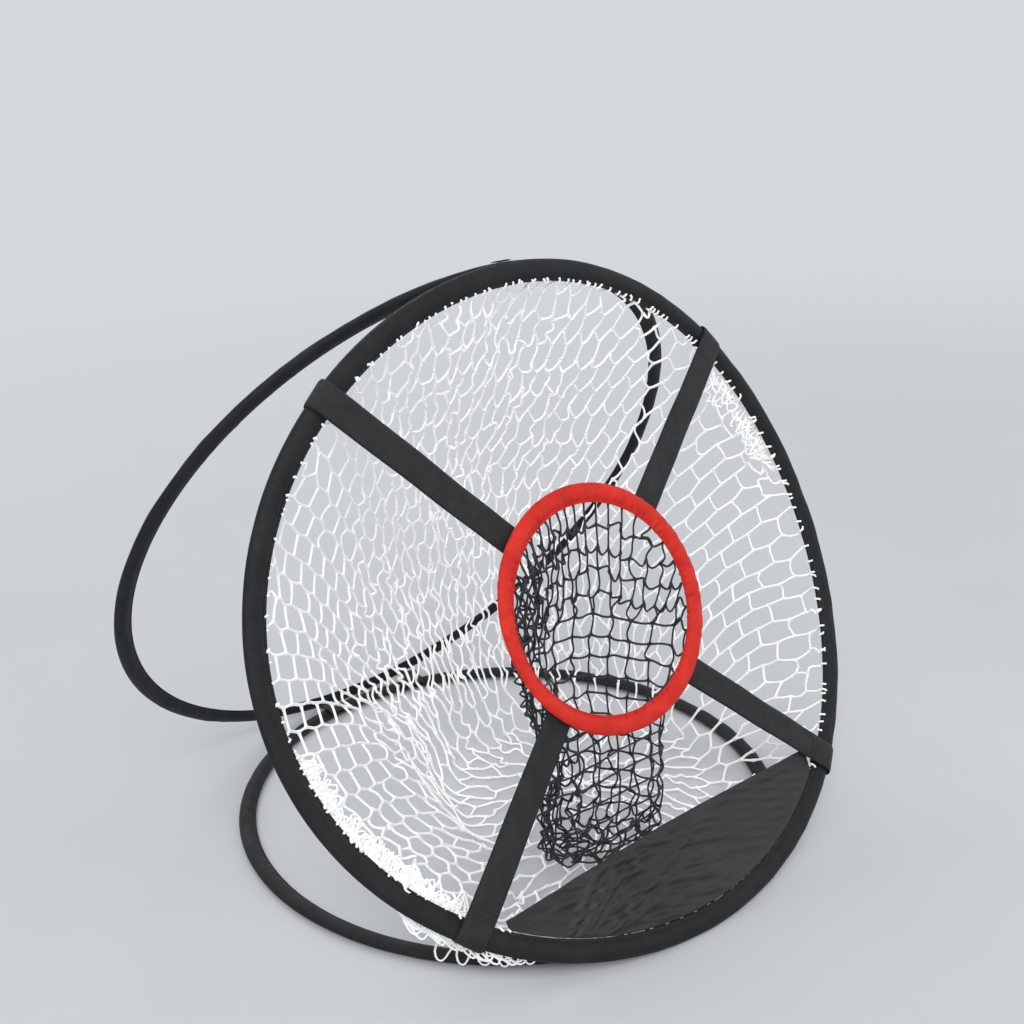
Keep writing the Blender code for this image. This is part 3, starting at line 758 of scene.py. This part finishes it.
class Net:
    """A net: rings of knots from the middle of a floor out to a rim that it is sewn to.

    Six-sided meshes go in staggered rows, joined by zigzags and by single strands in turn.
    Square meshes go in straight chains with cross strands.
    """

    def __init__(self, curve, turn, columns, steps, narrowest, extra, gather, seed, square=False):
        self.places, self.pinned, self.edges, self.gathered, self.sewn = [], [], [], [], []
        self.local = np.random.default_rng(seed)
        cache = {}

        def line(angle):
            key = round(angle, 4)
            if key not in cache:
                points = curve(angle)
                cache[key] = (points, lengths_along(points, closed=False))
            return cache[key]

        def place(angle, reach):
            points, run = line(angle)
            bonus = float(extra(np.array(angle)))
            start = run[-1] - gather
            folded = 0.0
            if reach > start and bonus > 0.0:
                folded = min(1.0, bonus / 0.03)
                reach = start + (reach - start) * gather / (gather + bonus)
            return np.array([np.interp(reach, run, points[:, i]) for i in range(3)]), folded

        def total(angle):
            return line(angle)[1][-1] + float(extra(np.array(angle)))

        def add(angle, reach, pinned):
            spot, folded = place(angle, reach)
            self.places.append(spot)
            self.pinned.append(pinned)
            self.gathered.append(folded)
            if pinned:
                self.sewn.append(angle)
            return len(self.places) - 1

        def width(reach, count):
            spans = []
            for angle in np.arange(0.0, 360.0, 15.0):
                if total(angle) > reach:
                    there = place(angle + 15.0, reach)[0]
                    spans.append(np.linalg.norm(there - place(angle, reach)[0]) * 24.0 / count)
            return np.mean(spans) if spans else 1.0

        longest = max(total(a) for a in np.arange(0.0, 360.0, 5.0))
        previous, previous_count, previous_phase = {0: add(0.0, 0.0, False)}, 1, 0.0
        reach, row = steps[1], 0
        while reach < longest + max(steps):
            phase = 0.0 if square or row % 4 in (0, 3) else 0.5
            count = columns
            while count > 11 and width(reach, count) < narrowest:
                count //= 2
            count = max(count, previous_count)
            current = {}
            for j in range(count):
                share = (j + phase) / count
                if count == previous_count and row % 2 == 1 and not square:
                    other = j + 1 if phase else j - 1
                    inner = [previous.get(j), previous.get(other % count)]
                elif count == previous_count:
                    inner = [previous.get(j)]
                else:
                    beside = math.floor(share * previous_count - previous_phase + 0.5)
                    inner = [previous.get(beside % previous_count)]
                inner = [i for i in inner if i is not None and not self.pinned[i]]
                if not inner:
                    continue
                angle = turn(share) % 360.0
                whole = total(angle)
                pinned = reach > whole - 0.4 * min(steps)
                current[j] = add(angle, whole if pinned else reach, pinned)
                self.edges += [(i, current[j]) for i in inner]
            if square:
                for j, index in current.items():
                    beside = current.get((j + 1) % count)
                    if beside is not None and not (self.pinned[index] and self.pinned[beside]):
                        self.edges.append((index, beside))
            previous, previous_count, previous_phase = current, count, phase
            reach += steps[row % 2]
            row += 1
        self.places = np.array(self.places)
        self.pinned = np.array(self.pinned)
        self.gathered = np.array(self.gathered)
        self.edges = np.array(self.edges)

    def relax(self, strand, rounds, drop, hold, jitter, keep_out):
        """Let the net hang: strands don't stretch, and knots keep apart and off what is near."""
        target = self.places.copy()
        noise = self.local.normal(0.0, 1.0, target.shape)
        swirl = np.stack([
            np.sin(target[:, 1] * 41.0 + target[:, 2] * 23.0),
            np.sin(target[:, 2] * 37.0 + target[:, 0] * 29.0 + 1.0),
            np.sin(target[:, 0] * 43.0 - target[:, 1] * 31.0 + 2.0)], 1)
        loose = ~self.pinned
        target[loose] += noise[loose] * jitter + swirl[loose] * jitter * 1.6
        crumple = self.local.normal(0.0, 0.0060, target.shape) * self.gathered[:, None]
        target[loose] += crumple[loose]
        x = target.copy()
        a, b = self.edges[:, 0], self.edges[:, 1]
        valence = np.maximum(1, np.bincount(self.edges.ravel(), minlength=len(x)))[:, None]
        speed = np.zeros_like(x)
        for _ in range(rounds):
            before = x.copy()
            x[loose] += speed[loose] * 0.85
            x[loose, 2] -= drop
            x[loose] += (target[loose] - x[loose]) * hold
            for _ in range(12):
                d = x[b] - x[a]
                length = np.linalg.norm(d, axis=1)
                short = np.where(length < 0.40 * strand, length - 0.40 * strand, 0.0)
                over = np.where(length > strand, length - strand, short)
                push = d * (over / np.maximum(length, 1e-9))[:, None] * 0.5
                shift = np.zeros_like(x)
                for i in range(3):
                    gained, lost = (np.bincount(end, push[:, i], len(x)) for end in (a, b))
                    shift[:, i] = gained - lost
                x[loose] += (shift / valence * 1.6)[loose]
            x = keep_out(x, loose)
            speed = x - before
        self.places = x

    def paths(self, strand, radius):
        """Each strand as a slack curve, thicker at its knots."""
        a, b = self.places[self.edges[:, 0]], self.places[self.edges[:, 1]]
        d = b - a
        length = np.linalg.norm(d, axis=1)
        slack = np.clip(strand - length, 0.0, strand * 0.5)
        bow = np.sqrt(0.375 * slack * np.maximum(length, 0.002))
        t = np.linspace(0.0, 1.0, STRAND_POINTS)
        aside = self.local.normal(0.0, 1.0, d.shape)
        aside[:, 2] -= 0.9
        along = unit(d)
        aside = unit(aside - along * (aside * along).sum(1)[:, None])
        twice = self.local.normal(0.0, 0.5, len(d))
        shape = np.sin(np.pi * t)[None] + twice[:, None] * np.sin(2.0 * np.pi * t)[None] * 0.6
        paths = a[:, None] + d[:, None] * t[None, :, None]
        paths = paths + aside[:, None] * (bow[:, None] * shape)[..., None]
        near = np.minimum(t, 1.0 - t)
        radii = np.full((len(d), len(t)), radius) * (1.0 + 0.55 * np.exp(-(near / 0.10) ** 2))[None]
        paths[..., 2] = np.maximum(paths[..., 2], radii * 1.15)
        return paths, radii


def keep_off_hoop(x, loose, hoop, half, margin):
    """Push knots out of a sleeve's oval section."""
    d = x - hoop.centre
    along_up, along_x, along_n = d @ hoop.up, d[:, 0], d @ hoop.normal
    angle = np.degrees(np.arctan2(along_x, -along_up))
    phase = 2.0 * np.radians(angle - hoop.skew)
    radius = hoop.radius * (1.0 + hoop.oval * np.cos(phase))
    lift = hoop.bow * np.cos(phase)
    across = np.hypot(along_up, along_x) - radius
    above = along_n - lift
    ra, rn = half[0] + margin, half[1] + margin
    depth = np.sqrt((across / ra) ** 2 + (above / rn) ** 2)
    inside = loose & (depth < 1.0)
    if inside.any():
        scale = 1.0 / np.maximum(depth[inside], 0.05) - 1.0
        level = np.zeros_like(along_x)
        radial = unit(np.stack([along_x, level, level], 1) + along_up[:, None] * hoop.up)
        push = radial[inside] * (across[inside] * scale)[:, None]
        x[inside] += push + hoop.normal * (above[inside] * scale)[:, None]
    return x


def bag_keep_out(x, loose):
    """Keep the bag's knots above the ground and off the three hoops."""
    x[loose, 2] = np.maximum(x[loose, 2], BAG_LOWEST)
    x = keep_off_hoop(x, loose, front_hoop, FRONT_HALF, FRONT_MARGIN)
    x = keep_off_hoop(x, loose, base_hoop, BACK_HALF, BACK_MARGIN)
    return keep_off_hoop(x, loose, rear_hoop, BACK_HALF, BACK_MARGIN)


def pocket_keep_out(x, loose):
    """Keep the pocket's knots from sinking below its floor."""
    x[loose, 2] = np.maximum(x[loose, 2], POCKET_LOWEST)
    return x


def bag_extra(angle):
    """How much more net than wall there is at an angle: it is bunched in two places on the rim."""
    angle = np.asarray(angle, float) % 360.0
    lower, upper = bump_window(angle, 278.0, 314.0, 8.0), bump_window(angle, 98.0, 127.0, 8.0)
    return 0.110 * lower + 0.060 * upper


def no_extra(angle):
    """The pocket has no net to spare."""
    return np.zeros_like(np.asarray(angle, float))


def bag_turn(share):
    """Meshes of the bag are narrow at its top and wide at its sides."""
    return 360.0 * share - 7.2 * math.sin(4.0 * math.pi * share)


def pocket_turn(share):
    """Chains of the pocket crowd together on its left and spread out on its right."""
    return 360.0 * share + 34.0 * math.sin(2.0 * math.pi * (share - 0.10))


def bow_under(points):
    """How far the bowed face of the front hoop lies from its flat plane, beside each point."""
    d = points - front_hoop.centre
    rise = d @ front_hoop.up
    phase = 2.0 * (np.arctan2(d[:, 0], -rise) - math.radians(front_hoop.skew))
    reach = np.clip(np.hypot(rise, d[:, 0]) / front_hoop.radius, 0.0, 1.0)
    return front_hoop.bow * np.cos(phase) * reach ** 2


def finish_net(obj, node):
    """A part of a net: it moves with the front hoop and gets its own copy of its mesh."""
    tie(obj, "front_frame", node)
    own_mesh(obj)


def add_loops(name, paths, radius, body):
    """Loose white cords that ride on one body."""
    tie(cords(name, paths, np.full(paths.shape[:2], radius), WHITE), body)


def rim_stitches(net):
    """Short loops of cord that sew the bag's edge to the front sleeve's inner edge."""
    angles = np.array(net.sewn)
    angles = np.concatenate([angles, angles + net.local.uniform(0.8, 3.4, len(angles))]) % 360.0
    bare = (angles > 360.0 + PANEL_ANGLES[0]) | (angles < PANEL_ANGLES[1])
    angles = angles[~bare]
    jitter = net.local.normal(0.0, 0.30, len(angles))
    reach = net.local.uniform(0.0004, 0.0030, len(angles))
    steps = ((0.0, 0.0008, -0.0026), (0.4, -0.0012, -0.0004), (0.8, -0.0002, 0.0020),
             (1.0, reach * 0.6, 0.0027), (1.6, reach, 0.0030))
    return np.stack([front_hoop.at(angles + jitter * along, -FRONT_HALF[0] + outward, raised)
                     for along, outward, raised in steps], 1)


def frill(net, start, stop, count, deep, wide):
    """Bunched loops of net along a stretch of the rim: each runs in from the edge and back."""
    local = net.local
    angles = start + (stop - start) * local.beta(1.3, 1.3, count)
    depth = local.uniform(0.25, 1.0, count) ** 1.3 * deep
    reach = local.uniform(0.4, 1.0, count) * wide
    lean = local.normal(0.0, 0.8, count)
    lift = local.uniform(-0.011, -0.0015, count)
    swing = np.degrees(reach / front_hoop.radius)
    steps = []
    for share in np.linspace(0.0, 1.0, LOOP_POINTS):
        hump = np.sin(np.pi * share)
        inward = hump ** 0.7 * depth + local.normal(0.0, 0.0007, count)
        sideways = angles + swing * (share - 0.5) * 2.0 + swing * lean * hump
        raised = -0.0030 + (lift + 0.0030) * hump ** 0.5 + local.normal(0.0, 0.0004, count)
        steps.append(front_hoop.at(sideways, -FRONT_HALF[0] + 0.0006 - inward, raised))
    return np.stack(steps, 1)


def spill(net):
    """Net pushed out between two sleeves: a low bunch, and loops over the base sleeve."""
    local = net.local
    count = 30
    angles = local.uniform(303.0, 323.0, count)
    deep, low, skew = local.uniform(0.3, 1.0, (3, count))
    steps = []
    for share in np.linspace(0.0, 1.0, LOOP_POINTS):
        hump = math.sin(math.pi * share)
        sideways = angles + 5.0 * (share - 0.5) + 2.0 * skew * hump + local.normal(0.0, 0.08, count)
        point = front_hoop.at(sideways, 0.001 + 0.007 * hump * deep, -0.009 - 0.003 * low)
        point[:, 2] -= 0.004 + 0.011 * hump * low
        steps.append(point)
    bunch = np.stack(steps, 1).reshape(-1, 3)
    loose = np.ones(len(bunch), bool)
    bunch = keep_off_hoop(bunch, loose, front_hoop, FRONT_HALF, FRONT_MARGIN)
    bunch = keep_off_hoop(bunch, loose, base_hoop, BACK_HALF, FRONT_MARGIN)
    loops = []
    for angle, spread, reach in SPILL_LOOPS:
        turns = np.linspace(0.0, 1.0, LOOP_POINTS)
        around = np.radians(125.0 - reach * np.sin(np.pi * turns) ** 0.6)
        loops.append(base_hoop.at(angle + spread * (turns - 0.5),
                                  (BACK_HALF[0] + BACK_MARGIN) * np.cos(around),
                                  (BACK_HALF[1] + BACK_MARGIN) * np.sin(around)))
    return bunch.reshape(count, LOOP_POINTS, 3), np.array(loops)


def add_nets():
    """The white bag in bands with its stitches and bunched net, then the black pocket."""
    bag = Net(bag_curve, bag_turn, BAG_COLUMNS, BAG_STEPS, BAG_NARROWEST, bag_extra, BAG_GATHER,
              seed=3)
    bag.relax(BAG_STRAND, rounds=60, drop=0.00016, hold=0.10, jitter=0.0022, keep_out=bag_keep_out)
    paths, radii = bag.paths(BAG_STRAND * 1.01, WHITE_CORD)
    bands = np.rint(bow_under(paths.mean(1)) / BOW_BAND).astype(int)
    for number, band in enumerate(np.unique(bands)):
        inside = bands == band
        part = cords("outer_net_%d" % (number + 1), paths[inside], radii[inside], WHITE)
        finish_net(part, "outer_net")
    add_loops("outer_net_rim", rim_stitches(bag), RIM_CORD, "front_frame")
    lower = frill(bag, 276.0, 313.0, count=150, deep=0.021, wide=0.008)
    upper = frill(bag, 99.0, 127.0, count=26, deep=0.030, wide=0.015)
    bunch, loops = spill(bag)
    for name, paths, radius, body in (
            ("outer_net_lower_frill", lower, FRILL_CORD, "front_frame"),
            ("outer_net_upper_frill", upper, LOOP_CORD, "front_frame"),
            ("outer_net_bunch", bunch, LOOP_CORD, "front_frame"),
            ("outer_net_spill", loops, LOOP_CORD, "base_frame")):
        paths[..., 2] = np.maximum(paths[..., 2], radius * 1.2)
        add_loops(name, paths, radius, body)

    pocket = Net(pocket_curve, pocket_turn, POCKET_COLUMNS, POCKET_STEPS, POCKET_NARROWEST,
                 no_extra, POCKET_GATHER, seed=9, square=True)
    pocket.relax(POCKET_STRAND, rounds=60, drop=0.00016, hold=0.05, jitter=0.0020,
                 keep_out=pocket_keep_out)
    paths, radii = pocket.paths(POCKET_STRAND * 1.03, BLACK_CORD)
    part = cords("pocket_net_cords", paths, radii, BLACK)
    finish_net(part, "pocket_net")


# ---- small webbing pieces

def add_hinge_tape(place, start, end, rise):
    """A short tape sewn to the front sleeve and to another sleeve, running from one to the other.
    """
    middle = (start + end) / 2.0 + np.array([0.0, 0.0, rise])
    tape = ribbon(place + "_hinge_web", place + "_hinge_tape", np.array([start, middle, end]),
                  np.array([1.0, 0.0, 0.0]), TAPE_WIDTH, TAPE_THICKNESS)[0]
    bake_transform(tape)


def add_small_webbing():
    """The hinge tapes, the tabs that hold the rear hoop, and the keeper strap."""
    add_hinge_tape("bottom", front_hoop.at(0.0, -0.0040, -0.0078),
                   base_hoop.at(0.0, -0.0030, 0.0076), -0.0004)
    add_hinge_tape("top", front_hoop.at(180.0, 0.0112, 0.0010),
                   rear_hoop.at(180.0, 0.0102, -0.0010), 0.0006)

    rear_points = rear_hoop.point(np.arange(-80, 81) * 0.5)
    for node, angle in TAB_ANGLES.items():
        rim, radial, normal = base_hoop.station(angle)
        path = loop_round(rim, radial, normal, BACK_HALF, np.linspace(150.0, 50.0, 12))
        nearest = rear_points[np.argmin(np.linalg.norm(rear_points - rim, axis=1))]
        toward = nearest - path[-1]
        reach = 1.0 - (BACK_HALF[0] + 0.0012) / np.linalg.norm(toward)
        path = np.concatenate([path, [path[-1] + toward * reach]])
        across = unit(np.cross(normal, radial))
        path = path - across * ((path - rim) @ across)[:, None]
        ribbon(node + "_web", node, path, across, TAB_WIDTH, body="base_frame")

    rim = base_hoop.point(KEEPER_ANGLE)
    run = (KEEPER_END - rim) * np.array([1.0, 1.0, 0.0])
    inward = unit(run)
    across = unit(np.cross([0.0, 0.0, 1.0], inward))
    top, low = BACK_HALF[1] * 2.0 + 3.0 * GAP + WEB_THICKNESS / 2.0, KEEPER_END[2]
    corners = ((-0.004, top), (0.013, top), (0.030, low), (np.linalg.norm(run), low))
    foot = np.array([rim[0], rim[1], 0.0])
    path = np.array([foot + inward * r + np.array([0.0, 0.0, h]) for r, h in corners])
    ribbon("keeper_strap_web", "keeper_strap", path, across, KEEPER_WIDTH, body="base_frame")


# ---- stage

def add_area(name, place, size, energy):
    """A square soft light that faces the middle of the object."""
    light = bpy.data.lights.new(name, "AREA")
    light.size, light.energy = size, energy
    obj = bpy.data.objects.new(name, light)
    obj.location = place
    bpy.context.collection.objects.link(obj)
    toward = Vector((0.0, 0.25, 0.25)) - obj.location
    obj.rotation_mode = "QUATERNION"
    obj.rotation_quaternion = toward.to_track_quat("-Z", "Y")


def add_stage():
    """A pale floor that fades into an even pale background, and soft lights."""
    points = np.array([[-1.0, -1.0, 0.0], [1.0, -1.0, 0.0], [1.0, 1.0, 0.0], [-1.0, 1.0, 0.0]])
    backdrop = (0.66, 0.69, 0.72, 1.0)
    n = Nodes("pale_floor")
    n.tint((0.52, 0.53, 0.54), (0.54, 0.55, 0.56), 3.0)
    n.put("Roughness", 0.9)
    n.put("Specular IOR Level", 0.1)
    far = n.add("ShaderNodeVectorMath", {0: n.object()}, operation="LENGTH").outputs["Value"]
    fade = n.add("ShaderNodeMapRange", {0: far, 1: 0.7, 2: 3.2, 3: 0.0, 4: 1.0},
                 interpolation_type="SMOOTHSTEP")
    glow = n.add("ShaderNodeEmission", {"Color": backdrop, "Strength": 1.0})
    mixed = n.add("ShaderNodeMixShader",
                  {0: fade.outputs[0], 1: n.shader.outputs[0], 2: glow.outputs[0]})
    n.feed(n.tree.nodes["Material Output"].inputs["Surface"], mixed.outputs[0])
    quad = np.array([[0, 1, 2, 3]])
    floor = build_mesh("floor", points * FLOOR_REACH, quad, np.zeros((4, 2)), n.material)
    world = bpy.data.worlds.new("studio")
    bpy.context.scene.world = world
    world.use_nodes = True
    background = world.node_tree.nodes["Background"]
    background.inputs[0].default_value = backdrop
    background.inputs[1].default_value = 1.0
    add_area("key", (-1.6, -1.8, 2.6), 1.6, 66.0)
    add_area("fill", (2.4, -1.2, 1.5), 2.2, 14.0)
    add_area("back", (0.4, 2.6, 2.2), 1.6, 22.0)
    bpy.context.scene.view_settings.view_transform = "Standard"


def add_camera():
    """The camera, turned about its target and rolled a little, with its picture shifted."""
    azimuth, elevation, roll = (math.radians(turn) for turn in CAMERA_TURNS)
    back = Vector((math.sin(azimuth) * math.cos(elevation),
                   -math.cos(azimuth) * math.cos(elevation), math.sin(elevation)))
    right = Vector((math.cos(azimuth), math.sin(azimuth), 0.0))
    up = back.cross(right)
    turned_right = right * math.cos(roll) + up * math.sin(roll)
    turned_up = up * math.cos(roll) - right * math.sin(roll)
    camera = bpy.data.cameras.new("camera")
    camera.lens, camera.sensor_width = CAMERA_LENS, 36.0
    camera.shift_x, camera.shift_y = CAMERA_SHIFT
    obj = bpy.data.objects.new("camera", camera)
    bpy.context.collection.objects.link(obj)
    axes = Matrix((turned_right, turned_up, back)).transposed().to_4x4()
    obj.matrix_world = Matrix.Translation(Vector(CAMERA_TARGET) + back * CAMERA_DISTANCE) @ axes
    bpy.context.scene.camera = obj


def dress_cad():
    """The wires and ferrules keep their solids and get a metal finish."""
    for node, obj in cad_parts.items():
        if node.endswith(("_wire", "_ferrule")):
            for place in obj.material_slots:
                place.link = "OBJECT"
                place.material = STEEL if node.endswith("_wire") else FERRULE


dress_cad()
BLACK_CLOTH = (SLEEVE, "sleeve_fabric", BLACK_THREAD)
add_sleeve("front_sleeve", front_hoop, FRONT_HALF, "front_frame", *BLACK_CLOTH, 31)
add_sleeve("base_sleeve", base_hoop, BACK_HALF, "base_frame", *BLACK_CLOTH, 41)
add_sleeve("rear_sleeve", rear_hoop, BACK_HALF, "rear_frame", *BLACK_CLOTH, 51)
add_sleeve("ring_cover", ring_hoop, RING_HALF, "front_frame", RED, "ring_fabric", RED_THREAD, 71,
           stations=480, crease=0.00105, narrow=0.22)
add_straps()
add_panel()
add_nets()
add_small_webbing()
add_stage()
add_camera()
